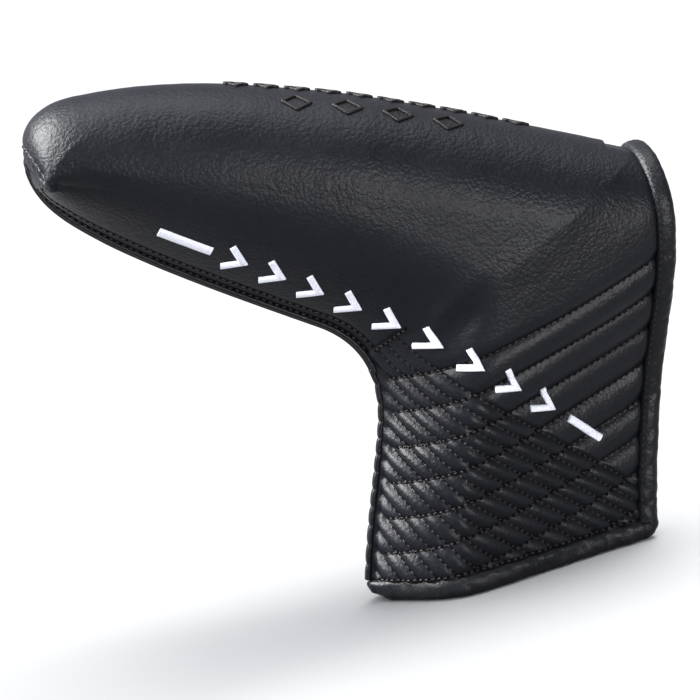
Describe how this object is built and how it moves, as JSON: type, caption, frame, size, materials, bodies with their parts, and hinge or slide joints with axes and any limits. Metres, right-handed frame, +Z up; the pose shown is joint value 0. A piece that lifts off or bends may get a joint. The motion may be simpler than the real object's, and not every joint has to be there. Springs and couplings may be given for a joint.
{
  "type": "putter head cover",
  "caption": "Padded L-shaped cover for a blade putter head, with a toe pocket, a quilted neck sleeve and a hook-and-loop mouth along the heel.",
  "frame": {"origin": "on the ground under the middle of the cover's box, with the cover standing on its neck hem", "axes": "+X from the toe to the heel, +Y from the decorated front to the back, +Z up along the shaft line"},
  "size_m": [0.1654, 0.048, 0.1506],
  "materials": {
    "black_leather": "pebbled, soft sheen",
    "hem_leather": "pebbled, pressed",
    "foam": "open-cell foam",
    "plush_lining": "short plush",
    "hook_tape": "hook tape",
    "loop_tape": "loop tape",
    "white_thread": "satin stitch, glossy thread",
    "dark_thread": "twisted thread"
  },
  "bodies": {
    "shell": {"leather_shell": "black_leather", "shell_padding": "foam", "shell_lining": "plush_lining", "arm_seam_welt": "hem_leather", "neck_seam_lip": "hem_leather", "toe_cross_seam": "hem_leather", "mouth_arch_hem": "hem_leather", "front_shell_bottom_hem": "hem_leather", "back_shell_bottom_hem": "hem_leather", "toe_dash_embroidery": "white_thread", "chevron_embroidery": "white_thread", "crown_upper_embroidery": "dark_thread", "crown_lower_embroidery": "dark_thread", "front_arm_topstitching": "dark_thread", "back_arm_topstitching": "dark_thread", "front_shell_quilt_thread": "dark_thread", "back_shell_quilt_thread": "dark_thread", "arch_topstitching": "dark_thread"},
    "front_flap": {"front_flap_leather": "black_leather", "front_flap_padding": "foam", "front_flap_lining": "plush_lining", "front_mouth_hem": "hem_leather", "front_flap_bottom_hem": "hem_leather", "hook_strip": "hook_tape", "heel_dash_embroidery": "white_thread", "front_flap_quilt_thread": "dark_thread", "front_mouth_topstitching": "dark_thread"},
    "back_flap": {"back_flap_leather": "black_leather", "back_flap_padding": "foam", "back_flap_lining": "plush_lining", "back_mouth_hem": "hem_leather", "back_flap_bottom_hem": "hem_leather", "loop_strip": "loop_tape", "back_flap_quilt_thread": "dark_thread", "back_mouth_topstitching": "dark_thread"}
  },
  "joints": [
    {"name": "front_flap_fold", "type": "hinge", "parent": "shell", "child": "front_flap", "pos_m": [0.02603, -0.0153, 0.005], "axis": [-0.5042, 0.0498, -0.8622], "range_deg": [0, 35], "stiffness_Nm_per_rad": 0.02},
    {"name": "back_flap_fold", "type": "hinge", "parent": "shell", "child": "back_flap", "pos_m": [0.02603, 0.0153, 0.005], "axis": [0.5042, 0.0498, 0.8622], "range_deg": [0, 35], "stiffness_Nm_per_rad": 0.02}
  ]
}
